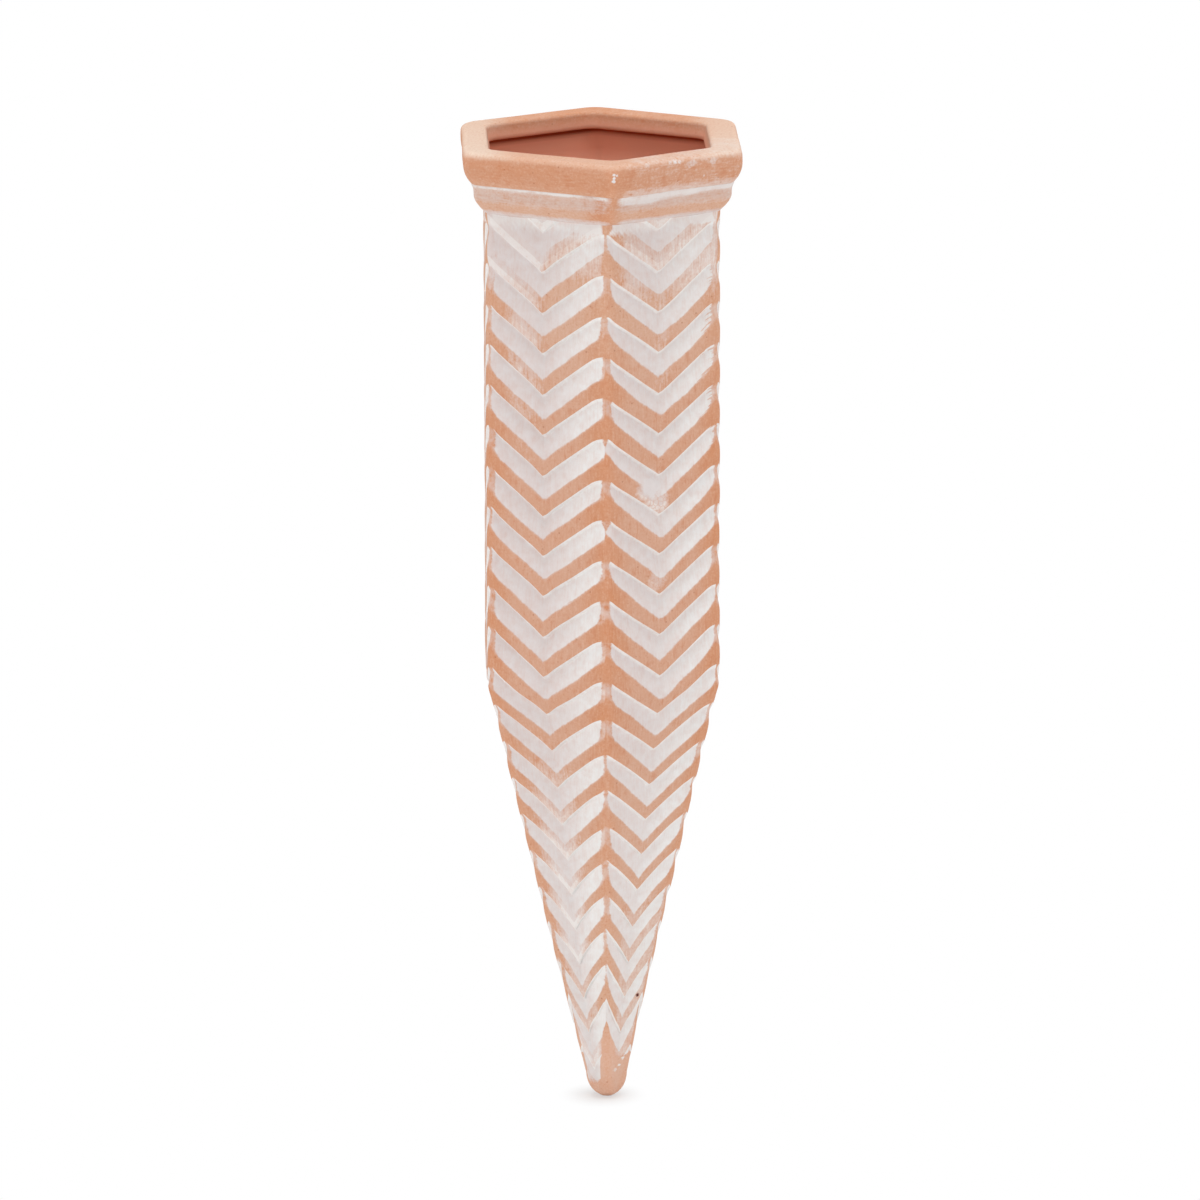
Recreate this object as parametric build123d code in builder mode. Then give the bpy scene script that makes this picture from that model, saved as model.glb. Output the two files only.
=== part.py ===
from build123d import *
import os
from math import cos, radians

# A self watering spike: a hollow hexagonal spike of fired clay, ribbed with chevrons, with
# whitewash left in the grooves. Millimetres, +Z up. The origin is on the axis at the soil line,
# the underside of the bead. Two corners of the hexagon lie on the Y axis, two faces on the X axis.

os.makedirs("parts", exist_ok=True)

# Heights and lengths along the axis
collar_height = 7.6
bead_height = 5.4
shaft_length = 97.0
point_length = 90.0
nose_length = 13.0
solid_end = 26.0
lip_height = 3.4

# Widths across the flats of the hexagon
collar_flats = 55.5
bead_flats = 51.3
shaft_flats = 46.7
tip_flats = 5.7
mouth_flats = 43.4
recess_flats = 46.2
cavity_flats = 38.4
cavity_end_flats = 7.2

# Rounded corners and edges
band_corner = 3.0
shaft_corner = 2.4
tip_corner = 2.4
mouth_corner = 3.8
cavity_corner = 3.0
cavity_end_corner = 1.6
rim_round = 1.3
mouth_round = 1.0
band_round = 2.0
tip_round = 2.2

# Chevron relief: each rib has a sharp lower edge, over a groove that slopes out to the next rib
shaft_pitch = 8.29
point_pitch = 7.89
chevron_rise = 8.93
first_drop = 1.63
groove_depth = 0.75
groove_share = 0.55
groove_overrun = 0.3

# Whitewash in the grooves and under the two bands
wash_depth = 0.3
wash_reach_share = 0.94
bare_corner = 1.1
line_depth = 0.5
line_height = 0.9
line_edge = 0.2

# Places worked out from the sizes
sides = 6
half_side = 180 / sides
shoulder_level = -shaft_length
tip_level = shoulder_level - point_length
nose_level = tip_level + nose_length
cavity_end_level = tip_level + solid_end
squeeze_share = point_pitch / shaft_pitch
pattern_length = shaft_length + (point_length - nose_length) / squeeze_share
groove_count = 1 + int((pattern_length - first_drop) / shaft_pitch)


def squeezed(height):
    """A height in the chevron pattern, which closes up to the point's pitch below the shoulder."""
    if height > shoulder_level:
        return height
    return shoulder_level + (height - shoulder_level) * squeeze_share


def crest(height):
    """Distance from the axis to the middle of a face, over the crests of the ribs."""
    narrowing = (shaft_flats - tip_flats) / 2 / point_length
    return shaft_flats / 2 - max(shoulder_level - height, 0) * narrowing


def relief_point(height, depth, corner):
    """A point of the relief on a radial plane, as its distance from the axis and its height.

    The plane goes through the middle of a face (corner 0) or through a corner (corner 1). The
    height is the pattern's own on the middle of the face, and the depth is below the crest.
    """
    place = squeezed(height + chevron_rise * corner)
    middle = crest(place)
    lean = (squeezed(height) - place) * depth / middle
    return Vector((middle - depth) / cos(radians(half_side * corner)), place + lean)


def groove_section(number, corner, along_step, along_floor):
    """Triangle in the groove under a rib: its root, a share of the step out and of the floor down."""
    foot = -first_drop - number * shaft_pitch
    root = relief_point(foot, groove_depth, corner)
    step = relief_point(foot, 0, corner) - root
    floor = relief_point(foot - groove_share * shaft_pitch, 0, corner) - root
    return [root, root + step * along_step, root + floor * along_floor]


def chevrons(along_step, along_floor):
    """One solid per groove on the face towards +X, each a half chevron and its mirror image."""
    solids = []
    for number in range(groove_count):
        with BuildPart() as chevron:
            for corner in (0, 1):
                with BuildSketch(Plane.XZ.rotated((0, 0, half_side * corner))):
                    with BuildLine():
                        Polyline(groove_section(number, corner, along_step, along_floor), close=True)
                    make_face()
            loft(ruled=True)
            mirror(about=Plane.XZ)
        solids.append(chevron.part)
    return solids


def hexagon(flats, corner_radius):
    """A hexagon with rounded corners, in the sketch that is being drawn."""
    outline = RegularPolygon(flats / 2, sides, major_radius=False, rotation=half_side)
    fillet(outline.vertices(), corner_radius)


# Collar: the wide upper band, thick at the rim, with the mouth that takes a bottle's neck and a
# recess under the lip
with BuildPart() as collar_ring:
    with BuildSketch(Plane.XY.offset(bead_height)):
        hexagon(collar_flats, band_corner)
    extrude(amount=collar_height)
    fillet(edges().group_by(Axis.Z)[0], band_round)
    fillet(edges().group_by(Axis.Z)[-1], rim_round)
    with BuildSketch(Plane.XY.offset(bead_height)):
        hexagon(mouth_flats, mouth_corner)
    extrude(amount=collar_height, mode=Mode.SUBTRACT)
    fillet(faces().sort_by(Axis.Z)[-1].inner_wires().edges(), mouth_round)
    with BuildSketch(Plane.XY.offset(bead_height)):
        hexagon(recess_flats, mouth_corner)
    extrude(amount=collar_height - lip_height, mode=Mode.SUBTRACT)
collar_ring.part.label = "collar_ring"

# Bead: the lower band, luted under the collar, with a bore that narrows to the shaft's cavity
with BuildPart() as neck_bead:
    with BuildSketch():
        hexagon(bead_flats, band_corner)
    extrude(amount=bead_height)
    fillet(edges().group_by(Axis.Z)[0], band_round)
    with BuildSketch():
        hexagon(cavity_flats, cavity_corner)
    with BuildSketch(Plane.XY.offset(bead_height)):
        hexagon(recess_flats, mouth_corner)
    loft(mode=Mode.SUBTRACT)
neck_bead.part.label = "neck_bead"

# The outer form of the point and its nose, over the crests of the ribs
with BuildPart() as tapered_form:
    with BuildSketch(Plane.XY.offset(shoulder_level)):
        hexagon(shaft_flats, shaft_corner)
    with BuildSketch(Plane.XY.offset(tip_level)):
        hexagon(tip_flats, tip_corner)
    loft(ruled=True)

# The ribbed clay between the bead and the nose, with the cavity that holds the water
cutter_share = 1 + groove_overrun / groove_depth
with BuildPart() as ribbed_body:
    with BuildSketch():
        hexagon(shaft_flats, shaft_corner)
    extrude(amount=-shaft_length)
    add(tapered_form.part)
    split(bisect_by=Plane.XY.offset(nose_level), keep=Keep.TOP)
    with BuildSketch():
        hexagon(cavity_flats, cavity_corner)
    extrude(amount=-shaft_length, mode=Mode.SUBTRACT)
    with BuildSketch(Plane.XY.offset(shoulder_level)):
        hexagon(cavity_flats, cavity_corner)
    with BuildSketch(Plane.XY.offset(cavity_end_level)):
        hexagon(cavity_end_flats, cavity_end_corner)
    loft(mode=Mode.SUBTRACT)
    with PolarLocations(0, sides):
        add(chevrons(cutter_share, cutter_share), mode=Mode.SUBTRACT)

# Shaft: the straight tube that stands in the soil under the bead
with BuildPart() as shaft_shell:
    add(ribbed_body.part)
    split(bisect_by=Plane.XY.offset(shoulder_level), keep=Keep.TOP)
shaft_shell.part.label = "shaft_shell"

# Point: the tapered tube that is pushed into the soil
with BuildPart() as point_shell:
    add(ribbed_body.part)
    split(bisect_by=Plane.XY.offset(shoulder_level), keep=Keep.BOTTOM)
point_shell.part.label = "point_shell"

# Nose: the solid end of the point, smooth and rounded
with BuildPart() as tip_nose:
    add(tapered_form.part)
    split(bisect_by=Plane.XY.offset(nose_level), keep=Keep.BOTTOM)
    fillet(edges().group_by(Axis.Z)[0], tip_round)
tip_nose.part.label = "tip_nose"

# Whitewash in the grooves of the face towards +X, bare along the corners of the hexagon
with BuildPart() as side_coat:
    add(chevrons(wash_depth / groove_depth, wash_reach_share))
    split(bisect_by=Plane.XY, keep=Keep.BOTTOM)
    split(bisect_by=Plane.XY.offset(nose_level), keep=Keep.TOP)
    with Locations(Rotation(0, 0, half_side), Rotation(0, 0, -half_side)):
        Box(collar_flats, 2 * bare_corner, -2 * tip_level, mode=Mode.SUBTRACT)

coats = []
for side in range(sides):
    with BuildPart() as face_coat:
        add(side_coat.part, rotation=(0, 0, side * 2 * half_side))
    face_coat.part.label = f"whitewash_face_{side + 1}"
    coats.append(face_coat.part)

# Whitewash caught in the corners under the collar and under the bead
for name, level, flats, corner_radius in (
    ("whitewash_collar_line", bead_height, bead_flats, band_corner),
    ("whitewash_bead_line", 0, shaft_flats, shaft_corner),
):
    with BuildPart() as line_coat:
        with BuildSketch(Plane.XY.offset(level)):
            hexagon(flats + 2 * line_depth, corner_radius + line_depth)
        with BuildSketch(Plane.XY.offset(level - line_height)):
            hexagon(flats + line_edge, corner_radius + line_edge / 2)
        loft(ruled=True)
        with BuildSketch(Plane.XY.offset(level)):
            hexagon(flats, corner_radius)
        extrude(amount=-line_height, mode=Mode.SUBTRACT)
    line_coat.part.label = name
    coats.append(line_coat.part)

for piece in [collar_ring.part, neck_bead.part, shaft_shell.part, point_shell.part, tip_nose.part] + coats:
    export_step(piece, f"parts/{piece.label}.step")
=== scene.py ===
import bpy
from math import cos, exp, floor, pi, radians, sin, sqrt, tan
from mathutils import Matrix, Vector, noise


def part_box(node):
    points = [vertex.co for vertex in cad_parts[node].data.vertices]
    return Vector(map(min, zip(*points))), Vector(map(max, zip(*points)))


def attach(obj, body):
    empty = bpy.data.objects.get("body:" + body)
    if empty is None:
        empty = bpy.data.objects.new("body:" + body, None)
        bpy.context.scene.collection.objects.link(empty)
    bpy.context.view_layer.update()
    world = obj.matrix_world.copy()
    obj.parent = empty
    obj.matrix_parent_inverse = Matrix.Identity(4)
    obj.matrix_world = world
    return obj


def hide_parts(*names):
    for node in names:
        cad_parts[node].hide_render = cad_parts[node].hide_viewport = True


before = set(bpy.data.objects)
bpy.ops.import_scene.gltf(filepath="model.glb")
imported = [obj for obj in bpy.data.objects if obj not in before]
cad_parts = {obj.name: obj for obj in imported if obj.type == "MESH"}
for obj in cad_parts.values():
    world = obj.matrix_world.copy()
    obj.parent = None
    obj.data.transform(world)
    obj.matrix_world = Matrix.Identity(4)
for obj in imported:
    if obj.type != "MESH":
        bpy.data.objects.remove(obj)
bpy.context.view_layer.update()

# Ribbed clay: the shaft, the point and its nose, slip-cast in one with the chevron ribs. Each rib
# stands out over a sharp lower edge, and the groove under it slopes out to the next rib. Round the
# corners of the hexagon the mould leaves both softer. All sizes here are in millimetres.
MM = 0.001
SIDES = 6
RIGHT, LEFT, LEFT_FRONT, RIGHT_FRONT = 0, 3, 4, 5  # the sides that the photograph shows
HALF_SIDE = pi / SIDES
COLUMNS = 20  # on half a side
STRAIGHT_SHARE = 0.7  # of those columns, before the rounded corner
shaft_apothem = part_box("shaft_shell")[1][0] / MM
shoulder_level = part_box("shaft_shell")[0][2] / MM
tip_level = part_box("tip_nose")[0][2] / MM
shaft_corner = 3.2
tip_apothem = 2.85
tip_rounding = 26  # the height over which the corners grow into the round tip
cap_height = 3.2
shoulder_drop = 0.15
shaft_pitch, point_pitch = 8.29, 7.89
chevron_rise = 8.93
first_drop = 1.63
groove_depth = 0.75
taper_reach = 60  # below the shoulder, where the point's own ways have come in fully
hidden_top = 3  # how far the ribs' ends go up inside the bead
# The rows on a rib, as shares of its pitch down from its lower edge
ROW_SHARES = (0, 0.02, 0.04, 0.06, 0.1, 0.17, 0.26, 0.36, 0.46, 0.56, 0.66, 0.75, 0.83, 0.9, 0.95, 0.98)
MOST_RIBS = 40  # more than there is room for, because the tip ends the rows
TOP_PATTERN = -0.5  # half a rib above the first one's lower edge, out of sight in the bead
CAP_ROWS = 8
WRAP = 0.2  # the share of a rib, above its lower edge, that is counted with the groove below
# Where each side's chevrons turn, off its middle by a share of its half, at four levels
VALLEY_LEVELS = (0, -97, -135, -172)
VALLEYS = (
    (0.03, 0.02, 0.01, 0), (-0.02, 0, 0.01, 0.02), (0.04, 0.03, 0.03, 0.03),
    (-0.02, -0.01, 0, 0), (-0.045, -0.05, 0, -0.16), (-0.07, -0.05, -0.045, -0.09),
)
tip_lean = 0.85  # how far the drying clay has leaned to the right
slope = (shaft_apothem - tip_apothem) / (shoulder_level - tip_level)
squeeze_share = point_pitch / shaft_pitch


def eased(value):
    """Smooth step from 0 to 1."""
    value = min(max(value, 0), 1)
    return value * value * (3 - 2 * value)


def hump(value, middle, reach):
    """Smooth hump of height 1 round a middle."""
    return eased(1 - abs(value - middle) / reach)


def clay_wobble(point, grain, depth):
    """How far hand-finished clay strays from its mould's face, in millimetres."""
    return noise.noise(point / grain) * depth


def side_place(apothem, corner, side, across):
    """Point in the plane, outward normal and share of the half side's length, on a rounded hexagon."""
    share = abs(across)
    straight = (apothem - corner) * tan(HALF_SIDE)
    bend = HALF_SIDE * max(share - STRAIGHT_SHARE, 0) / (1 - STRAIGHT_SHARE)
    along = straight * min(share / STRAIGHT_SHARE, 1)
    arc_share = (along + corner * bend) / (straight + corner * HALF_SIDE)
    hand = 1 if across > 0 else -1
    place = Vector((apothem - corner * (1 - cos(bend)), (along + corner * sin(bend)) * hand, 0))
    normal = Vector((cos(bend), sin(bend) * hand, 0))
    spin = Matrix.Rotation(side * 2 * HALF_SIDE, 3, "Z")
    return spin @ place, spin @ normal, arc_share


def squeezed(height):
    """A height in the pattern, which closes up to the point's pitch below the shoulder."""
    if height > shoulder_level:
        return height
    return shoulder_level + (height - shoulder_level) * squeeze_share


def crest_apothem(level):
    """Distance from the axis to the crest of the ribs at a level."""
    below = shoulder_level - level
    dropped = shoulder_drop * eased(below / 2.5) * eased(1 - below / 30)
    return shaft_apothem - max(below, 0) * slope - dropped


def crest_corner(level):
    """Radius of the hexagon's corners at a level, which grow into the round tip."""
    apothem = crest_apothem(level)
    hexagonal = eased((level - tip_level) / tip_rounding)
    return apothem * 0.93 * (1 - hexagonal) + min(shaft_corner, apothem * 0.7) * hexagonal


def relief_depth(phase, share):
    """Depth under the crest from a rib's lower edge (0) to the next one's (1), share 1 at a corner."""
    soft = eased((share - 0.78) / 0.2)
    root = 0.055 + 0.06 * soft
    edge_depth = 0.1 + 0.45 * soft
    if phase < root:
        return groove_depth * (edge_depth + (1 - edge_depth) * phase / root)
    climb = min((phase - root) / (0.7 - 0.1 * soft - root), 1)
    rise = eased(climb) * (0.5 + 0.5 * soft) + climb * (0.5 - 0.5 * soft)
    lip_reach = 0.08 + 0.2 * soft
    return groove_depth * max(1 - rise, edge_depth * max((phase - 1) / lip_reach + 1, 0) ** 2)


def arm(run, taper):
    """Rise of a chevron's arm, with its peak rounded over the corner, more so in the point."""
    start = 0.84 - 0.36 * taper
    return (1.05 + 0.07 * taper) * run - (0.08 + 0.04 * taper) * (max(run - start, 0) / (1 - start)) ** 2


def leaned(level):
    """How far the point leans over at a level."""
    return Vector((tip_lean * (max(shoulder_level - level, 0) / (shoulder_level - tip_level)) ** 2, 0, 0))


def between(places, values, place):
    """The value at a place between places given from the highest down."""
    for high, low, value, next_value in zip(places, places[1:], values, values[1:]):
        if place > low:
            return value + (next_value - value) * max(high - place, 0) / (high - low)
    return values[-1]


def taper_at(level):
    """How far the point's own ways have come in at a level, from 0 on the shaft to 1."""
    return min(max(shoulder_level - level, 0) / taper_reach, 1)


def strayed(level, side, signed, arc_share):
    """The level where the pattern was really carved, a little off its even place."""
    on_shaft = max(level, shoulder_level) / shoulder_level
    level -= max(0.5 - 0.15 * on_shaft - 0.016 * max(shoulder_level - level, 0), -0.65)
    clear_of_corner = 1 - eased((arc_share - 0.88) / 0.12)
    if side == LEFT_FRONT:
        level -= 0.65 * eased((-105 - level) / 20) * eased((signed + 0.7) / 0.6) * clear_of_corner
    if side == RIGHT_FRONT:
        level += 0.16 * hump(level, -75, 35) * clear_of_corner
        level -= 0.7 * eased((-138 - level) / 15) * hump(signed, -0.05, 0.85)
    return level


def ribbed_point(pattern, side, along_arm):
    """A point of the ribbed face, by ribs down its valley and from the valley to a corner (-1 or 1)."""
    height = -first_drop - pattern * shaft_pitch
    middle = squeezed(height)
    valley = between(VALLEY_LEVELS, VALLEYS[side], middle)
    across = valley + along_arm * (1 - valley * (1 if along_arm > 0 else -1))
    arc_share = side_place(crest_apothem(middle), crest_corner(middle), side, across)[2]
    signed = arc_share if across > 0 else -arc_share
    taper = taper_at(middle)
    by_corner = eased((arc_share - 0.8) / 0.2)
    rise = arm(abs(signed - valley), taper) * (1 - by_corner) + arm(arc_share, taper) * by_corner
    rise *= 1 - 0.09 * max(shoulder_level - middle, 0) / 68
    rise *= 0.35 + 0.65 * eased((middle - tip_level - 3) / 14)
    if side == LEFT_FRONT:
        rise -= 0.035 * hump(signed, valley, 0.2)
    level = strayed(squeezed(height + chevron_rise * rise), side, signed, arc_share)
    if level > 0:
        level = hidden_top * (1 - exp(-level / hidden_top))
    place, normal, arc_share = side_place(crest_apothem(level), crest_corner(level), side, across)
    stray = Vector((place.x, place.y, level))
    shallow = eased((level - tip_level - 6) / 12) * (1 - 0.3 * taper - (0.35 - 0.1 * taper) * by_corner)
    depth = relief_depth(pattern - floor(pattern), arc_share) * shallow * (1 + clay_wobble(stray, 9, 0.3))
    wobble = clay_wobble(stray, 17, 0.14) + clay_wobble(stray, 4, 0.05) + clay_wobble(stray, 1.3, 0.02)
    point = stray + leaned(level) - normal * (depth + wobble - 0.1 * taper)
    point.z += clay_wobble(stray + Vector((40, 0, 0)), 11, 0.3) * shallow
    return point, arc_share if across > 0 else -arc_share


# Whitewash: thin lime wash, brushed over the whole spike and sponged off the ribs. It lies in the
# grooves, stops short of the corners, and is left as a veil where the sponge did not reach. Each
# point of the clay carries marks that say how much of it is left, which the material reads.
# Besides the wash, some marks paint light and shade: the bloom and the raw clay are partly painted light,
# and a dark mark is a painted shade under the lip
SURFACE_MARKS = ("around", "veil", "chalk", "rubbed", "bloom_and_painted_light", "raw_clay_and_painted_light", "painted_lip_shade")
GROOVE_MARKS = ("pattern", "reach", "end", "feather")
nicked_levels = (-45.7, -62.7)  # where the sponge cut the ends short at the front corner


def chance(*keys):
    """The same number from -1 to 1 for the same keys, for what differs from groove to groove."""
    return noise.cell(Vector(keys) * 7.3 + Vector((0.5, 0.5, 0.5)))


def left_front_veil(point, signed, off_corner):
    """The veil on the left front face: over its top, down its left arms, and again in the point."""
    level = point.z
    left_arm = eased((0.25 - signed) / 0.5)
    striped = 1 - 0.35 * eased((-155 - level) / 8)
    thicker = 0.6 + 0.35 * eased((-169 - level) / 5)
    veil = max(
        1.08 * eased((level + 9 + 10 * left_arm) / 8),
        0.7 * eased((level + 15) / 7),
        0.85 * eased((level + 75) / 65) * hump(signed, -0.35, 0.65),
        1.1 * striped * hump(level, -148, 50) ** 0.5 * hump(signed, -0.15, 0.75) ** 0.5,
        thicker * eased((-156 - level) / 8) * eased((0.8 - signed) / 0.35),
    )
    if signed > 0:
        veil *= eased(off_corner / 0.9 + 0.5 * noise.noise(point / 1.5))
    return veil


def right_front_veil(level, signed):
    """The veil on the right front face: over its top, thin down its middle, and again in the point."""
    return max(
        0.9 * eased((level + 9) / 6) * hump(signed, 0, 0.8),
        0.78 * eased((level + 22) / 12) * eased((signed + 1) / 0.5),
        0.5 * eased((level + 75) / 60) * hump(signed, 0, 0.4),
        0.35 * eased((-95 - level) / 40) * hump(signed, 0.05, 0.6),
        0.6 * eased((-130 - level) / 20) * eased((signed + 0.7) / 0.4),
    )


def washed_marks(point, side, hand, signed, pattern):
    """What the sponge left here: veil, reach down the groove, end by the corner, chalk and feather."""
    level = point.z
    number = floor(pattern + WRAP)
    share = abs(signed)
    taper = taper_at(level)
    half_width = crest_apothem(level) * tan(HALF_SIDE)
    off_corner = (1 - share) * half_width
    front_corner = side == LEFT_FRONT and hand > 0 or side == RIGHT_FRONT and hand < 0
    veil = 0.1 + 0.35 * max(noise.noise(point / 20), 0)
    # Paler clay at the top, down the point and at the tip: partly a bloom, and in the point and at the
    # tip also painted light that brightens the clay where less light reaches it
    bloom_and_painted_light = 0.2 * taper + 0.2 * eased((level + 45) / 40) + 0.1 * eased((-165 - level) / 10)
    chalk = 0.45 + 0.5 * noise.noise(point / 13 + Vector((9, 0, 0))) + 0.3 * taper
    feather = 0.25 * max(noise.noise(point / 16 + Vector((0, 30, 0))), 0)
    rubbed = eased((share - 0.45) / 0.5)
    narrowing = 0.15  # of the wash from the valley to the corner, as a share of the pitch
    if side in (LEFT, RIGHT):
        narrowing = 0.1 + 0.4 * taper
    if side == LEFT_FRONT:
        veil = left_front_veil(point, signed, off_corner)
        chalk = 0.1 + 0.65 * eased((signed + 0.1) / 0.9) + 0.35 * taper
        rubbed = max(rubbed, 0.8 * eased((-signed - 0.5) / 0.3) * eased((level + 70) / 20))
        narrowing = 0.04 + 0.18 * taper if hand < 0 else 0.1
    if side == RIGHT_FRONT:
        veil = right_front_veil(level, signed)
        chalk = 0.2 + 0.5 * eased((signed + 0.3) / 0.9) + 0.35 * taper
        feather = 1.4 * eased((signed - 0.55) / 0.25) * hump(level, -26, 26) ** 0.5
        narrowing = 0.2 - 0.12 * taper if hand < 0 else 0.07 + 0.12 * eased((share - 0.75) / 0.2)

    reach = 0.62 + 0.09 * taper - narrowing * share - 0.06 * eased((share - 0.8) / 0.2)
    reach += 0.035 * chance(number, side, hand) + 0.03 * noise.noise(point / 5)
    if side == LEFT_FRONT:
        reach -= 0.04 * hump(signed, 0, 0.4)
    if side == RIGHT_FRONT:
        reach -= 0.05 * eased((level + 65) / 25) * hump(signed, 0, 0.4) + 0.1 * eased((-140 - level) / 15)

    end = off_corner - half_width * (0.07 + 0.05 * chance(number, side + 9, hand))
    end += 0.9 * eased((-160 - level) / 6)
    if front_corner:
        end += 1.2 * sum(hump(level, nicked, 2.5) for nicked in nicked_levels)
        end += (0.5 if side == LEFT_FRONT else 1.1) * eased((level + 9) / 3)

    # The line of wash caught under the bead, which thins above the first rib
    gap = 0.1 if side == LEFT_FRONT and hand > 0 else 0.45
    under_bead = eased((off_corner - gap - 0.8 * eased((level + 1.9) / 1.5)) / 0.5)
    under_bead *= eased((level + 2.6) / 1.2) * (0.6 if pattern < -0.01 else 1)
    veil = max(veil, 1.2 * under_bead)
    chalk = max(chalk, 0.75 * under_bead)

    # The nose is bare, and more of it at the front corner
    if side == LEFT_FRONT and signed < 0.45:
        coated = eased((level - tip_level - 3) / 2)
    else:
        corner_bare = 7 * hump(share, 1, 0.45) if front_corner else 0
        coated = eased((level - tip_level - 9 - corner_bare) / 2)
    veil = min(veil, 2 * coated)
    reach = reach * coated - 0.12 * (1 - coated)
    bloom_and_painted_light *= 1 - 0.8 * min(max(veil, 0), 1)
    return {
        "veil": veil, "reach": reach, "end": end, "chalk": chalk, "feather": feather,
        "rubbed": rubbed, "bloom_and_painted_light": bloom_and_painted_light, "painted_lip_shade": 0,
    }


# The rows of the ribbed clay, from inside the bead down to the rounded end
patterns = [number + share for number in range(-1, MOST_RIBS) for share in ROW_SHARES]
cap_level = tip_level + cap_height
levels = [squeezed(-first_drop - pattern * shaft_pitch) for pattern in patterns]
patterns = [at for at, level in zip(patterns, levels) if at > TOP_PATTERN and level > cap_level]
steps = range(-COLUMNS, COLUMNS)
columns = [(side, step / COLUMNS) for side in range(SIDES) for step in steps]
width = len(columns)
verts, faces = [], []
marks = {kind: [] for kind in SURFACE_MARKS + GROOVE_MARKS}


def add_clay(point, side, along_arm, signed, pattern, raw_clay_and_painted_light=0):
    """Store a point of the ribbed clay with what its material reads."""
    verts.append(point)
    values = washed_marks(point, side, 1 if along_arm > 0 else -1, signed, pattern)
    values["pattern"] = pattern
    # Paler, pinker clay towards the tip, as painted light where less light reaches it
    values["raw_clay_and_painted_light"] = raw_clay_and_painted_light or 0.18 * eased((-166 - point.z) / 10)
    if raw_clay_and_painted_light:
        values["veil"] = values["reach"] = -1
    values["around"] = (side * 2 + signed) * shaft_apothem * tan(HALF_SIDE)
    for kind, value in values.items():
        marks[kind].append(value)


for pattern in patterns:
    for side, across in columns:
        point, signed = ribbed_point(pattern, side, across)
        add_clay(point, side, across, signed, pattern)
# The rounded end, as rings that close on the tip
edge_ring = [point.copy() for point in verts[-width:]]
for row in range(1, CAP_ROWS):
    turn = row / CAP_ROWS * pi / 2
    for (side, across), edge in zip(columns, edge_ring):
        level = edge.z + (tip_level - edge.z) * sin(turn)
        inset = (edge - leaned(edge.z)) * cos(turn)
        point = Vector((inset.x, inset.y, level)) + leaned(level)
        add_clay(point, side, across, across, patterns[-1])
rings = len(verts) // width
tip = len(verts)
add_clay(Vector((0, 0, tip_level)) + leaned(tip_level), 0, 0, 0, patterns[-1])
for column in range(width):
    beside = (column + 1) % width
    for ring in range(rings - 1):
        here, below = ring * width, (ring + 1) * width
        faces.append((here + column, below + column, below + beside, here + beside))
    faces.append(((rings - 1) * width + column, tip, (rings - 1) * width + beside))

# The cavity's skin, from the top edge down to the solid end of the point. It is raw clay, lightened as
# painted light in the shaded mouth.
CAVITY_ROWS = 12
EDGE_LOOP = 0.05  # rows this near keep an edge crisp
cavity_apothem, cavity_corner = 19.2, 3.0
cavity_end_level, cavity_end_apothem, cavity_end_corner = -161, 3.6, 1.6
cavity_end_hollow = 1.5
ledge_level, ledge_apothem = -0.2, 22.0  # under the bead, out of sight
cavity_drop = cavity_end_level - shoulder_level
levels = [ledge_level, 0, -EDGE_LOOP]
levels += [shoulder_level * row / CAVITY_ROWS for row in range(1, CAVITY_ROWS)]
levels += [shoulder_level + cavity_drop * row / CAVITY_ROWS for row in range(CAVITY_ROWS + 1)]
first_inner = len(verts)
for ring, level in enumerate(levels):
    share = max((level - shoulder_level) / cavity_drop, 0)
    apothem = cavity_apothem + (cavity_end_apothem - cavity_apothem) * share if ring else ledge_apothem
    corner = cavity_corner + (cavity_end_corner - cavity_corner) * share
    for side, across in columns:
        place, normal = side_place(apothem, corner, side, across)[:2]
        point = Vector((place.x, place.y, level))
        point += normal * clay_wobble(point, 15, 0.15) * eased(-level / 8)
        add_clay(point, side, across, signed=1, pattern=0.75, raw_clay_and_painted_light=1)
for column in range(width):
    beside = (column + 1) % width
    faces.append((first_inner + column, column, beside, first_inner + beside))
    for ring in range(len(levels) - 1):
        here = first_inner + ring * width
        faces.append((here + column, here + beside, here + width + beside, here + width + column))
last = first_inner + (len(levels) - 1) * width
bottom = len(verts)
add_clay(Vector((0, 0, cavity_end_level - cavity_end_hollow)), 0, 0, signed=1, pattern=0.75, raw_clay_and_painted_light=1)
for column in range(width):
    faces.append((last + column, last + (column + 1) % width, bottom))


def clay_piece(name, verts, faces, marks):
    """A smooth mesh from points in millimetres, with one float attribute for each kind of mark."""
    mesh = bpy.data.meshes.new(name)
    mesh.from_pydata([point * MM for point in verts], [], faces)
    mesh.shade_smooth()
    for kind, values in marks.items():
        mesh.attributes.new(kind, "FLOAT", "POINT").data.foreach_set("value", values)
    piece = bpy.data.objects.new(name, mesh)
    bpy.context.scene.collection.objects.link(piece)
    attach(piece, "root")
    return piece


ribbed = clay_piece("clay_shaft_and_point", verts, faces, marks)
washed_nodes = [f"whitewash_face_{side + 1}" for side in range(SIDES)]
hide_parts("shaft_shell", "point_shell", "tip_nose", *washed_nodes)


# Terracotta: porous red earthenware with fine grog in it, fired at about 1000 degrees and left
# unglazed. It looks dry and matte, peach where it is rubbed and pinkish under the last of the wash.
# The sizes of its patterns are in millimetres.
drag_mark = 0.4  # between the sponge's streaks
grain_size = 0.45  # coarser than the real grain, so that it shows
blotch_size = 1.6  # of thicker and thinner wash
patch_size = 9  # of clay rubbed more and less
grog_gap = 2.6  # between the dark grains of grog
crack_gap = 0.9  # between the cracks in thick wash that has dried


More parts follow.
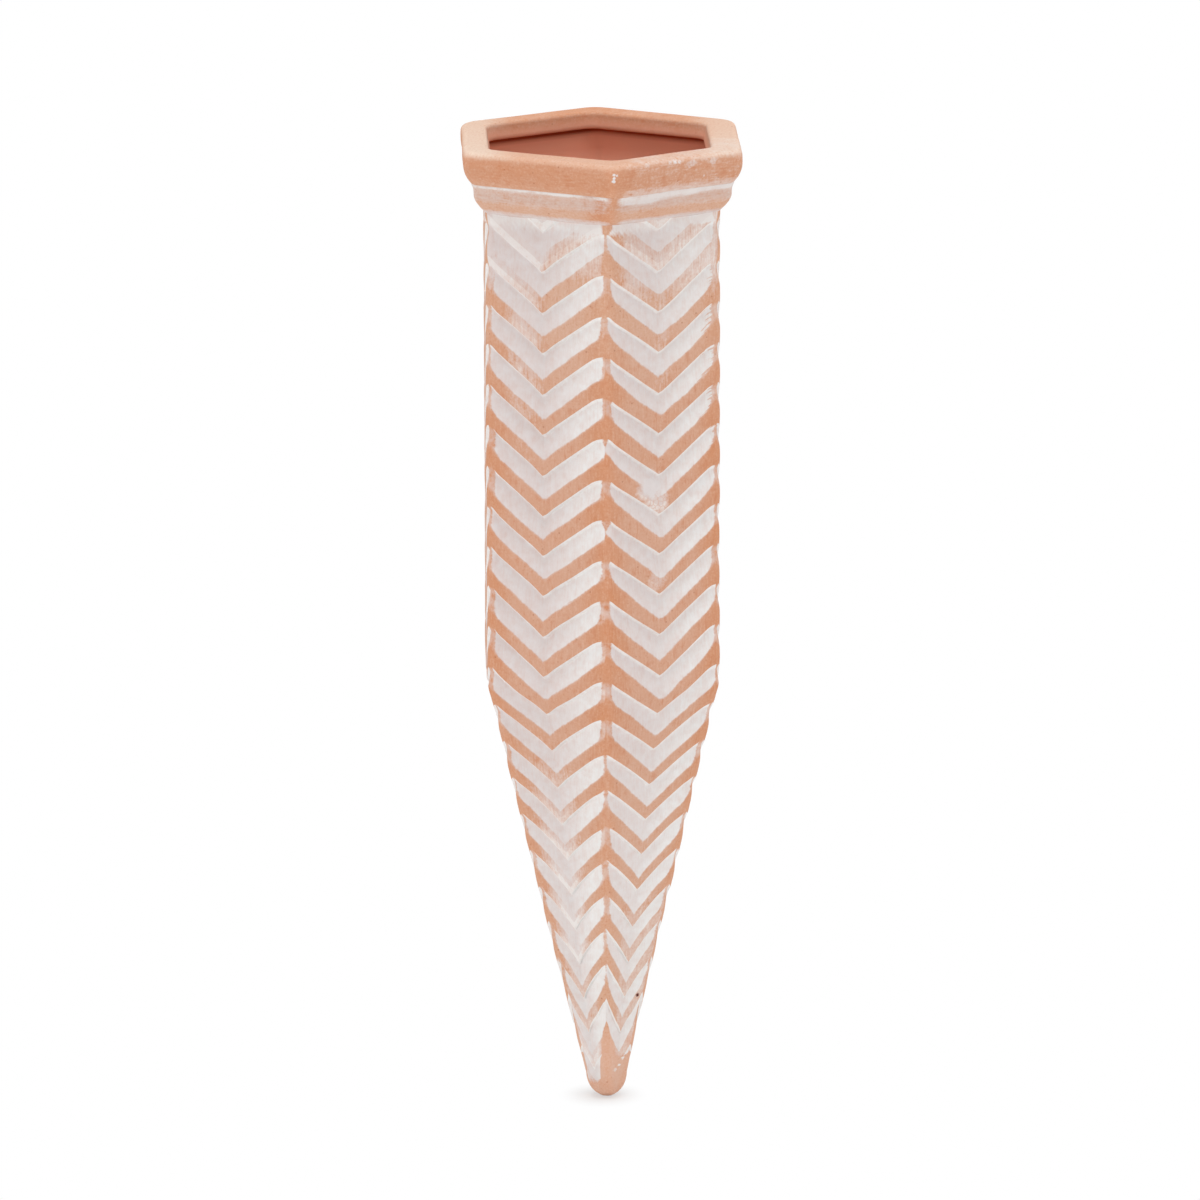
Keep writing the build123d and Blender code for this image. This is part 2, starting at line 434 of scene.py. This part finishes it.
def linear(hex_colour):
    """A linear colour from an sRGB hex value."""
    shares = [int(hex_colour[at:at + 2], 16) / 255 for at in (1, 3, 5)]
    return tuple(s / 12.92 if s <= 0.04045 else ((s + 0.055) / 1.055) ** 2.4 for s in shares) + (1,)


def lay(tree, kind, inputs=(), **settings):
    """Add a shader node with its settings, and set or link its inputs, by name or in their order."""
    made = tree.nodes.new("ShaderNode" + kind)
    for name, value in settings.items():
        setattr(made, name, value)
    for name, value in inputs.items() if isinstance(inputs, dict) else enumerate(inputs):
        if isinstance(value, bpy.types.Node):
            value = value.outputs[0]
        if isinstance(value, bpy.types.NodeSocket):
            tree.links.new(value, made.inputs[name])
        else:
            made.inputs[name].default_value = value
    return made


def blend(tree, start, *parts):
    """A start value with some of each part added to it: pairs of a node and how much of it."""
    for part, amount in parts:
        start = lay(tree, "Math", (part, amount, start), operation="MULTIPLY_ADD")
    return start


def groove_wash(tree, marks, streaks, grain, blotches):
    """How much wash covers the clay in a groove and hazily round it, and the fillet at its top."""
    # Distances in millimetres into the wash, from its upper and lower edges and its ends
    phase = lay(tree, "Math", (marks["pattern"], 1 - WRAP, -WRAP), operation="WRAP")
    ragged = blend(tree, -0.45, (grain, 0.35), (blotches, 0.55))
    upper = blend(tree, 0.1, (phase, shaft_pitch))
    left = lay(tree, "Math", (marks["reach"], phase), operation="SUBTRACT")
    lower = blend(tree, ragged, (left, shaft_pitch))
    end = blend(tree, marks["end"], (ragged, 2.2))
    inside = lay(tree, "Math", (lower, end, 2.0), operation="SMOOTH_MIN")
    inside = lay(tree, "Math", (inside, blend(tree, 0.3, (upper, 1)), 0.9), operation="SMOOTH_MIN")
    inside = lay(tree, "Math", (inside, blend(tree, 0, (upper, 6))), operation="MINIMUM")

    # Where a dry brush left bare lines along the groove
    brush_place = (blend(tree, 0, (marks["around"], 0.2)), blend(tree, 0, (marks["pattern"], 14)))
    brush_place = lay(tree, "CombineXYZ", brush_place)
    brush = lay(tree, "TexNoise", {"Vector": brush_place, "Scale": 1.3, "Detail": 2, "Roughness": 0.5})
    worn = lay(tree, "Math", (blend(tree, -1.6, (grain, 0.6), (brush, 2.6)), 0), operation="MAXIMUM")
    worn = lay(tree, "Math", (worn, marks["feather"]), operation="MULTIPLY")
    groove = {"Value": blend(tree, inside, (worn, -3)), "From Min": -0.3, "From Max": 0.22}
    groove = lay(tree, "MapRange", groove, interpolation_type="SMOOTHSTEP")
    thin = blend(tree, 0, (blotches, 0.5), (streaks, 0.5))
    thin = lay(tree, "MapRange", {"Value": thin, "From Min": 0.35, "From Max": 0.6, "To Min": 0.8})
    groove = lay(tree, "Math", (groove, thin), operation="MULTIPLY")

    hazy = lay(tree, "Math", (lower, blend(tree, -0.6, (upper, 1)), 0.8), operation="SMOOTH_MIN")
    hazy = lay(tree, "Math", (hazy, blend(tree, 1.5, (end, 1)), 0.8), operation="SMOOTH_MIN")
    hazy = lay(tree, "Math", (blend(tree, -1.7, (blotches, 4)), hazy), operation="MINIMUM")
    hazy = lay(tree, "MapRange", {"Value": hazy, "From Min": -0.5, "From Max": 1.2, "To Max": 0.7})
    fillet = lay(tree, "MapRange", {"Value": upper, "From Min": 0.75, "From Max": 0.35, "To Max": 0.6})
    return groove, hazy, fillet


def washed_clay(name, ribbed, daubs, iron_spots=()):
    """Fired clay under a wiped whitewash, which follows the chevrons on the ribbed clay.

    A daub is a stray dab of wash: its place and reach in millimetres, and how thick it is. An iron
    spot is a grain of iron that has burnt dark, as its place and reach.
    """
    material = bpy.data.materials.new(name)
    material.use_nodes = True
    tree = material.node_tree
    tree.nodes.clear()
    kinds = SURFACE_MARKS + GROOVE_MARKS if ribbed else SURFACE_MARKS
    marks = {kind: lay(tree, "Attribute", attribute_name=kind).outputs["Fac"] for kind in kinds}
    place = lay(tree, "TexCoord").outputs["Object"]
    height = lay(tree, "SeparateXYZ", (place,)).outputs["Z"]

    # The sponge went up and down the ribs, and round the bands
    up, round_about, combed = (0.12, 1, 0.8) if ribbed else (1, 0.2, 0.6)
    streak_place = (blend(tree, 0, (marks["around"], round_about)), blend(tree, 0, (height, up / MM)))
    streaks = {"Vector": lay(tree, "CombineXYZ", streak_place), "Scale": 1 / drag_mark}
    streaks = lay(tree, "TexNoise", {**streaks, "Detail": 3, "Roughness": 0.65})
    grain, blotches, patches = (
        lay(tree, "TexNoise", {"Vector": place, "Scale": 1 / size, "Detail": detail, "Roughness": 0.6})
        for size, detail in ((grain_size * MM, 3), (blotch_size * MM, 4), (patch_size * MM, 4))
    )

    # The clay: more orange where it is rubbed, dusty or scorched in streaks, pale under a bloom that is
    # partly painted light, with dark grog in it, paler and redder as raw clay lightened as painted light
    # inside the mouth and near the tip, and dark with a painted shade under the lip
    rubbed = lay(tree, "MapRange", {"Value": blend(tree, -0.55, (marks["rubbed"], 0.7), (patches, 1.2))})
    dust = blend(tree, 0, (grain, 1 - 0.6 * combed), (streaks, 0.6 * combed))
    dust = lay(tree, "MapRange", {"Value": dust, "From Min": 0.48, "From Max": 0.75, "To Max": 0.6})
    scorch = blend(tree, 0, (streaks, 0.5 * combed), (blotches, 1 - 0.5 * combed))
    scorch = lay(tree, "MapRange", {"Value": scorch, "From Min": 0.47, "From Max": 0.36, "To Max": 0.45})
    bloom_and_painted_light = lay(tree, "Math", (marks["bloom_and_painted_light"], blend(tree, 0.55, (grain, 0.9))), operation="MULTIPLY")
    grains = lay(tree, "MapRange", {"Value": grain, "From Min": 0.38, "From Max": 0.3, "To Max": 0.3})
    grog = lay(tree, "TexVoronoi", {"Vector": place, "Scale": 1 / (grog_gap * MM)})
    grog = lay(tree, "MapRange", {"Value": grog, "From Min": 0.09, "From Max": 0.05, "To Max": 0.5})
    clay = lay(tree, "MixRGB", (rubbed, linear("#D2A187"), linear("#CF8D66")))
    # Dust, scorch, a bloom that is partly painted light, grains, grog, raw clay lightened as painted
    # light, and a painted shade under the lip
    for share, hex_colour in (
        (dust, "#DDB9A4"), (scorch, "#C87E56"), (bloom_and_painted_light, "#E6D8C8"), (grains, "#B87048"),
        (grog, "#A9603A"), (marks["raw_clay_and_painted_light"], "#F5B59A"), (marks["painted_lip_shade"], "#93401F"),
    ):
        clay = lay(tree, "MixRGB", (share, clay, linear(hex_colour)))

    # The veil: what the sponge left of the wash on the clay
    veil = blend(tree, -0.5 - 0.5 * combed, (grain, 0.4), (blotches, 0.6), (streaks, combed))
    veil = blend(tree, -0.48, (veil, 1.3), (marks["veil"], 1.4))
    cover = lay(tree, "MapRange", {"Value": veil, "To Max": 0.88})
    chalk = marks["chalk"]
    if ribbed:
        groove, hazy, fillet = groove_wash(tree, marks, streaks, grain, blotches)
        cover = lay(tree, "Math", (groove, cover), operation="MAXIMUM")
        cover = lay(tree, "Math", (hazy, cover), operation="MAXIMUM")
        chalk = lay(tree, "Math", (chalk, fillet), operation="ADD")
    cracks = {"Vector": place, "Scale": 1 / (crack_gap * MM)}
    cracks = lay(tree, "TexVoronoi", cracks, feature="DISTANCE_TO_EDGE")
    cracks = lay(tree, "MapRange", {"Value": cracks, "From Max": 0.12})
    for x, y, z, reach, thickness in daubs:
        away = lay(tree, "VectorMath", (place, Vector((x, y, z)) * MM), operation="DISTANCE")
        ragged = min(3.2 * reach, 3)
        away = blend(tree, ragged / 2, (away.outputs["Value"], 1 / MM), (blotches, -ragged))
        away = blend(tree, ragged / 6, (away, 1), (grain, -ragged / 3))
        daub = {"Value": away, "From Min": reach, "From Max": reach / 2, "To Max": thickness}
        cracked = 0.6 if thickness < 1 else 0
        cracked = blend(tree, 1 - cracked, (cracks, cracked))
        daub = lay(tree, "Math", (lay(tree, "MapRange", daub), cracked), operation="MULTIPLY")
        cover = lay(tree, "Math", (daub, cover), operation="MAXIMUM")
    chalk = lay(tree, "MapRange", {"Value": blend(tree, -0.25, (chalk, 1), (blotches, 0.5))})
    wash = lay(tree, "MixRGB", (chalk, linear("#D9CECC"), linear("#ECEAE8")))
    colour = lay(tree, "MixRGB", (cover, clay, wash))
    for x, y, z, reach in iron_spots:
        away = lay(tree, "VectorMath", (place, Vector((x, y, z)) * MM), operation="DISTANCE")
        away = blend(tree, 0.3, (away.outputs["Value"], 1 / MM), (grain, -0.6))
        spot = lay(tree, "MapRange", {"Value": away, "From Min": reach, "From Max": reach * 0.6})
        colour = lay(tree, "MixRGB", (spot, colour, linear("#5E2A22")))

    rise = blend(tree, 0, (grain, 0.6), (cover, 0.3))
    bump = lay(tree, "Bump", {"Height": rise, "Strength": 0.3, "Distance": 0.1 * MM})
    rough = lay(tree, "MapRange", {"Value": grain, "To Min": 0.82, "To Max": 0.95})
    surface = {"Base Color": colour, "Roughness": rough, "Normal": bump}
    shader = lay(tree, "BsdfPrincipled", {**surface, "IOR": 1.45, "Specular IOR Level": 0.25})
    lay(tree, "OutputMaterial", (shader,))
    return material


# Stray dabs of wash, as x, y, z, reach and thickness: large ones over the ribs on the right, and small
# ones on the left and near the tip
rib_daubs = (
    (8.9, -21.0, -54.1, 3.8, 1), (9.9, -20.5, -57.0, 3.4, 0.75), (10.2, -20.3, -73.2, 2.6, 0.45),
    (-6.3, -22.5, -53.4, 0.5, 1), (4.0, -3.6, -178.0, 0.6, 0.9), (2.6, -4.5, -180.4, 0.6, 0.9),
    (3.3, -4.0, -179.4, 0.5, 0.9), (2.9, -4.0, -183.0, 0.45, 0.9),
)
iron_spots = ((6.85, -5.4, -164.0, 0.5),)
ribbed_clay = washed_clay("ribbed terracotta with wash in its grooves", True, rib_daubs, iron_spots)
ribbed.data.materials.append(ribbed_clay)

# Bead: the narrow band over the shaft, luted on with slip. Its bore widens upwards to the recess
# under the lip. Its upper half keeps a pink veil of wash and its lower half is rubbed bare.
bead_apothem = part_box("neck_bead")[1][0] / MM
seam_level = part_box("neck_bead")[1][2] / MM
recess_apothem = 23.1
recess_edge = 0.1  # a step beside the recess, where the bead and the collar meet out of sight
band_corner = 3.0
band_step = 0.6  # the longest run between two points of a section
mouth_shift = 0.5  # the mouth is cut a little to the left
under_lip = 3.6  # from the seam up to where the lip begins
bead_slip, collar_slip = 0.8, 1.1  # how far each band's front corner went to the right


def swept_band(name, section, marks_of, slip):
    """A closed ring whose section, a loop of (apothem, corner, height), goes round the hexagon."""
    verts, faces = [], []
    marks = {kind: [] for kind in SURFACE_MARKS}
    steps = range(-2 * COLUMNS, 2 * COLUMNS)
    columns = [(side, step / COLUMNS / 2) for side in range(SIDES) for step in steps]
    for side, across in columns:
        for apothem, corner, height in section:
            place, normal = side_place(apothem, corner, side, across)[:2]
            point = Vector((place.x, place.y, height))
            outward = eased((apothem - recess_apothem) / 2)
            middle = exp(-(point.x / apothem * 2) ** 2)
            lip = (1 - outward) * eased((height - seam_level - under_lip) / 0.6)
            point.x += slip * middle * (outward + 1.8 * lip) * (1 if point.y < 0 else -0.25)
            point -= normal * (0.1 + clay_wobble(point, 14, 0.12) + clay_wobble(point, 3, 0.03)) * outward
            point.x -= mouth_shift * lip
            verts.append(point)
            values = marks_of(point, apothem)
            values["around"] = (side * 2 + across) * shaft_apothem * tan(HALF_SIDE)
            for kind, value in values.items():
                marks[kind].append(value)
    rows = len(section)
    for column in range(len(columns)):
        here, beside = column * rows, (column + 1) % len(columns) * rows
        for row in range(rows):
            above = (row + 1) % rows
            faces.append((here + row, beside + row, beside + above, here + above))
    return clay_piece(name, verts, faces, marks)


def ovolo(apothem, level, inset, rise, power, steps):
    """The rounded lower edge of a band, from its underside up to its upright face."""
    heights = [rise * step / steps for step in range(steps + 1)]
    return [(apothem - inset * (1 - height / rise) ** power, level + height) for height in heights]


def runs(points, gap):
    """The same outline with its long runs divided, so that no step is longer than the gap."""
    full = []
    for here, there in zip(points, points[1:] + points[:1]):
        length = sqrt((there[0] - here[0]) ** 2 + (there[1] - here[1]) ** 2)
        count = max(1, round(length / gap))
        full += [tuple(a + (b - a) * step / count for a, b in zip(here, there)) for step in range(count)]
    return full


def bead_marks(point, apothem):
    """The wash left on the bead: a line under the collar, a veil below it and a bare lower half."""
    # The bore is raw clay, lightened as painted light in the shaded mouth
    if apothem <= recess_apothem:
        return {"veil": -0.5, "chalk": 0.3, "rubbed": 1, "bloom_and_painted_light": 0, "raw_clay_and_painted_light": 1, "painted_lip_shade": 0}
    level = point.z
    in_front = eased(-2 * point.y / bead_apothem)
    right = eased((point.x + 2) / 6)
    bare_front = hump(point.x, 1.8, 2.0) * in_front
    bare_low = hump(point.x, -0.5, 5) * in_front
    waver = noise.noise(Vector((point.x / 5, point.y / 5, 3)))
    thick = right * (0.75 + 1.1 * hump(point.x, 7, 11) * in_front)
    line = eased((level - seam_level - 0.1 + thick + 0.4 * waver) / (0.4 + 0.4 * right))
    line *= (1 - bare_front) * (0.7 + 0.3 * eased((point.x + 19) / 5)) * (1 + 0.3 * waver)
    line *= 1 - 0.6 * hump(point.x, -3.2, 2.2) * in_front
    upper = eased((level - 2.0) / 1.4)
    veil = 0.2 + 0.4 * upper * (1 - 0.8 * bare_front) + 0.5 * line
    veil += 0.8 * eased((1.3 - level) / 0.7) * (1 - bare_front)
    return {
        "veil": veil, "chalk": 0.05 + (0.9 - 0.35 * right) * line, "rubbed": 0.4 + 0.5 * bare_low,
        "bloom_and_painted_light": 0.2 * (1 - bare_low), "raw_clay_and_painted_light": 0, "painted_lip_shade": 0,
    }


bead_outline = ovolo(bead_apothem, 0, bead_apothem - shaft_apothem + 0.15, 3.6, 1.6, 8)
# The fillet of wash under the collar, out from the bead's face and up from the seam
bead_outline += [
    (bead_apothem + out, seam_level + up) for out, up in
    ((0, -0.9), (0.08, -0.35), (0.22, 0.05), (0.4, 0.45), (0.48, 0.75), (0.2, 1.4), (-0.5, 0))
]
bead_outline += [(recess_apothem + recess_edge, seam_level), (recess_apothem, seam_level)]
bead_outline += [(recess_apothem, seam_level - EDGE_LOOP)]
BORE_STEPS = 7
bore_inset = recess_apothem - cavity_apothem
for step in range(1, BORE_STEPS + 1):
    turn = step / BORE_STEPS * pi / 2
    bead_outline.append((recess_apothem - bore_inset * (1 - cos(turn)), seam_level * (1 - sin(turn))))
bead_outline += [(cavity_apothem + EDGE_LOOP, 0)]
bead_section = [(apothem, band_corner, height) for apothem, height in runs(bead_outline, band_step)]
bead = swept_band("clay_bead", bead_section, bead_marks, bead_slip)
# A stroke of wash at the collar's front corner, and dabs along the right of its front
band_daubs = (
    (1.7, -31.4, 11.2, 0.35, 1), (1.7, -31.4, 10.6, 0.35, 1), (1.6, -31.4, 10.0, 0.35, 1),
    (2.2, -31.3, 11.0, 0.3, 0.95), (12.9, -24.5, 12.3, 0.6, 0.8), (14.0, -23.9, 12.3, 0.6, 0.9),
    (14.9, -23.4, 12.2, 0.5, 0.8), (17.4, -22.0, 11.7, 1.3, 0.55), (19.8, -20.6, 8.5, 0.5, 0.8),
    (8.4, -27.2, 12.4, 0.8, 0.5), (21.6, -19.4, 11.6, 0.8, 0.5),
)
band_clay = washed_clay("sponged terracotta of the bands", False, band_daubs)
bead.data.materials.append(band_clay)
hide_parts("neck_bead", "whitewash_collar_line", "whitewash_bead_line")

# Collar: the wide upper band, thick at the rim round the mouth that takes a bottle's neck, with a
# recess under the lip. A wet sponge has rounded the rim and left a pale bloom on its top, which is
# painted paler still as a painted highlight from the light above.
collar_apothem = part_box("collar_ring")[1][0] / MM
rim_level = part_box("collar_ring")[1][2] / MM
rim_round = 1.3
rim_softness = 1.6  # how much rounder the rim's corners are at the top
mouth_apothem = 21.5
mouth_draft = 0.5
mouth_round, mouth_round_height = 0.8, 0.9
mouth_corner = 3.8
lip_level = rim_level - 3.4


def quarter(centre, reach, start, steps):
    """Points on a quarter of an ellipse, from an angle in quarter turns."""
    turns = [(start + step / steps) * pi / 2 for step in range(steps + 1)]
    return [(centre[0] + reach[0] * cos(turn), centre[1] + reach[1] * sin(turn)) for turn in turns]


def collar_marks(point, apothem):
    """The wash on the collar: a bloom on the rim that is partly painted highlight, smears on the right of
    its front, and inside the mouth raw clay lightened as painted light, with a painted shade under the
    lip.
    """
    level = point.z
    top = eased((level - rim_level + 1.6) / 1.4)
    ends = eased((abs(point.x) / collar_apothem - 0.55) / 0.35)
    if apothem < mouth_apothem + 1.2 and top < 0.7 or level < lip_level and apothem <= recess_apothem:
        # Inside the mouth: raw clay lightened as painted light, and a painted shade in the recess just
        # under the lip
        inner = 0.6 * eased((rim_level - 0.6 - level) / 2.2) + 0.4 * eased((lip_level - level) / 0.3)
        painted_lip_shade = eased((lip_level + 0.1 - level) / 0.2) * eased((level - lip_level + 1.6) / 1.0)
        bloom_and_painted_light = 0.3 * ends * (1 - inner)
        return {"veil": -0.5, "chalk": 0, "rubbed": 0.8, "bloom_and_painted_light": bloom_and_painted_light, "raw_clay_and_painted_light": inner, "painted_lip_shade": painted_lip_shade}
    right = eased((point.x - 1) / 5) * eased(-point.y / 6)
    low = eased((seam_level + 2.8 - level) / 1.6)
    veil = 0.05 + right * (0.3 + 0.32 * low + 0.12 * top * eased(point.x / 12))
    ends *= 0.34 if point.x > 0 else 0.44
    # The rim's pale top is partly a bloom and partly a painted highlight from the light above, less of it
    # at the back
    bloom_and_painted_light = top * (0.16 - 0.12 * point.y / collar_apothem + ends) + 0.1 * low
    return {"veil": veil, "chalk": 0.45, "rubbed": 0.8 - 0.3 * right, "bloom_and_painted_light": bloom_and_painted_light, "raw_clay_and_painted_light": 0, "painted_lip_shade": 0}


collar_outline = ovolo(collar_apothem, seam_level, 2.4, 5, 2.2, 9)
rim_centre = (collar_apothem - rim_round, rim_level - rim_round)
collar_outline += quarter(rim_centre, (rim_round, rim_round), 0, 6)
mouth_centre = (mouth_apothem + mouth_draft + mouth_round, rim_level - mouth_round_height)
collar_outline += quarter(mouth_centre, (mouth_round, mouth_round_height), 1, 6)
collar_outline += [(mouth_apothem + 0.03, lip_level + 0.35), (mouth_apothem + 0.2, lip_level + 0.02)]
collar_outline += [(recess_apothem - 0.2, lip_level - 0.15), (recess_apothem, lip_level - 0.6)]
collar_outline += [(recess_apothem, seam_level + EDGE_LOOP), (recess_apothem, seam_level)]
collar_outline += [(recess_apothem + recess_edge, seam_level)]
collar_section = []
for apothem, height in runs(collar_outline, band_step):
    inward = min(max((collar_apothem - apothem) / (collar_apothem - mouth_apothem), 0), 1)
    softened = rim_softness * eased((height - rim_level + 2.5) / 2) * (1 - inward)
    corner = band_corner + softened + (mouth_corner - band_corner) * inward
    collar_section.append((apothem, corner, height))
collar = swept_band("clay_collar", collar_section, collar_marks, collar_slip)
collar.data.materials.append(band_clay)
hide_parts("collar_ring")

# Studio floor: a wide sheet of matte white paper that the tip just touches. It is lit so evenly that
# the eye sees plain white, with only a faint shadow close round the tip.
FLOOR = 3  # metres from the middle to an edge
shadow_start, shadow_end = 1, 9.5  # millimetres from the tip, over which the shadow fades out
corners = [(-FLOOR, -FLOOR), (FLOOR, -FLOOR), (FLOOR, FLOOR), (-FLOOR, FLOOR)]
floor_mesh = bpy.data.meshes.new("studio_floor")
floor_mesh.from_pydata([(x, y, 0) for x, y in corners], [], [(0, 1, 2, 3)])
studio_floor = bpy.data.objects.new("studio_floor", floor_mesh)
studio_floor.location.z = tip_level * MM
bpy.context.scene.collection.objects.link(studio_floor)
paper = bpy.data.materials.new("white studio paper")
paper.use_nodes = True
tree = paper.node_tree
tree.nodes.clear()
matte = lay(tree, "BsdfDiffuse", (linear("#F4F4F4"),))
white = lay(tree, "Emission", (linear("#FFFFFF"), 1.0))
place = lay(tree, "TexCoord").outputs["Object"]
away = lay(tree, "VectorMath", (place,), operation="LENGTH").outputs["Value"]
far = {"Value": away, "From Min": shadow_start * MM, "From Max": shadow_end * MM, "To Min": 0.5}
far = lay(tree, "MapRange", far, interpolation_type="SMOOTHSTEP")
rays = lay(tree, "LightPath").outputs
seen = lay(tree, "Math", (rays["Is Camera Ray"], rays["Is Glossy Ray"]), operation="MAXIMUM")
seen = lay(tree, "Math", (seen, far), operation="MULTIPLY")
lay(tree, "OutputMaterial", (lay(tree, "MixShader", (seen, matte, white)),))
floor_mesh.materials.append(paper)

# Studio light: a white dome, a broad softbox overhead and a small one low on each side, a little
# stronger from the left. The dome looks whiter to the camera than it lights the clay.
world = bpy.data.worlds.new("studio dome")
bpy.context.scene.world = world
world.use_nodes = True
tree = world.node_tree
tree.nodes.clear()
rays = lay(tree, "LightPath").outputs
seen = lay(tree, "Math", (rays["Is Camera Ray"], rays["Is Glossy Ray"]), operation="MAXIMUM")
strength = lay(tree, "MapRange", {"Value": seen, "To Min": 0.45, "To Max": 1.0})
dome = lay(tree, "Background", (linear("#FFFFFF"), strength))
lay(tree, "OutputWorld", (dome,))
# Each softbox's place and size in metres, and its power in watts
for name, place, size, power in (
    ("overhead softbox", (0.0, -0.08, 1.0), 0.9, 8),
    ("left softbox", (-1.3, -0.9, 0.0), 0.36, 7.8),
    ("right softbox", (1.35, -0.8, 0.0), 0.36, 7.0),
):
    lamp = bpy.data.lights.new(name, "AREA")
    lamp.shape = "DISK"
    lamp.size = size
    lamp.energy = power
    light = bpy.data.objects.new(name, lamp)
    light.location = place
    aim = Vector((0, 0, tip_level * MM / 2)) - Vector(place)
    light.rotation_euler = aim.to_track_quat("-Z", "Y").to_euler()
    bpy.context.scene.collection.objects.link(light)

# Camera: a long lens that looks down a little over the rim, with a corner of the hexagon towards it,
# as fitted to the photograph
PHOTO = 1200  # pixels on a side
SENSOR = 36
FAR_CLIP = 20  # metres
lens_pixels = 9000
mm_per_pixel = 0.202
azimuth, elevation, roll = radians(-1.72), radians(14.06), radians(-0.15)
axis_x = 601.7  # where the spike's axis crosses the photograph's middle row
view_level = -82.5  # the level on the axis that the camera looks at
back = Vector((sin(azimuth) * cos(elevation), -cos(azimuth) * cos(elevation), sin(elevation)))
camera_data = bpy.data.cameras.new("camera")
camera_data.sensor_width = SENSOR
camera_data.lens = lens_pixels / PHOTO * SENSOR
camera_data.clip_end = FAR_CLIP
camera = bpy.data.objects.new("camera", camera_data)
bpy.context.scene.collection.objects.link(camera)
bpy.context.scene.camera = camera
right = Vector((cos(azimuth), sin(azimuth), 0))
target = Vector((0, 0, view_level * MM)) - right * (axis_x - PHOTO / 2) * mm_per_pixel * MM
camera.location = target + back * lens_pixels * mm_per_pixel * MM
facing = back.to_track_quat("Z", "Y")
camera.rotation_euler = (facing.to_matrix() @ Matrix.Rotation(roll, 3, "Z")).to_euler()

bpy.context.scene.view_settings.view_transform = "Standard"
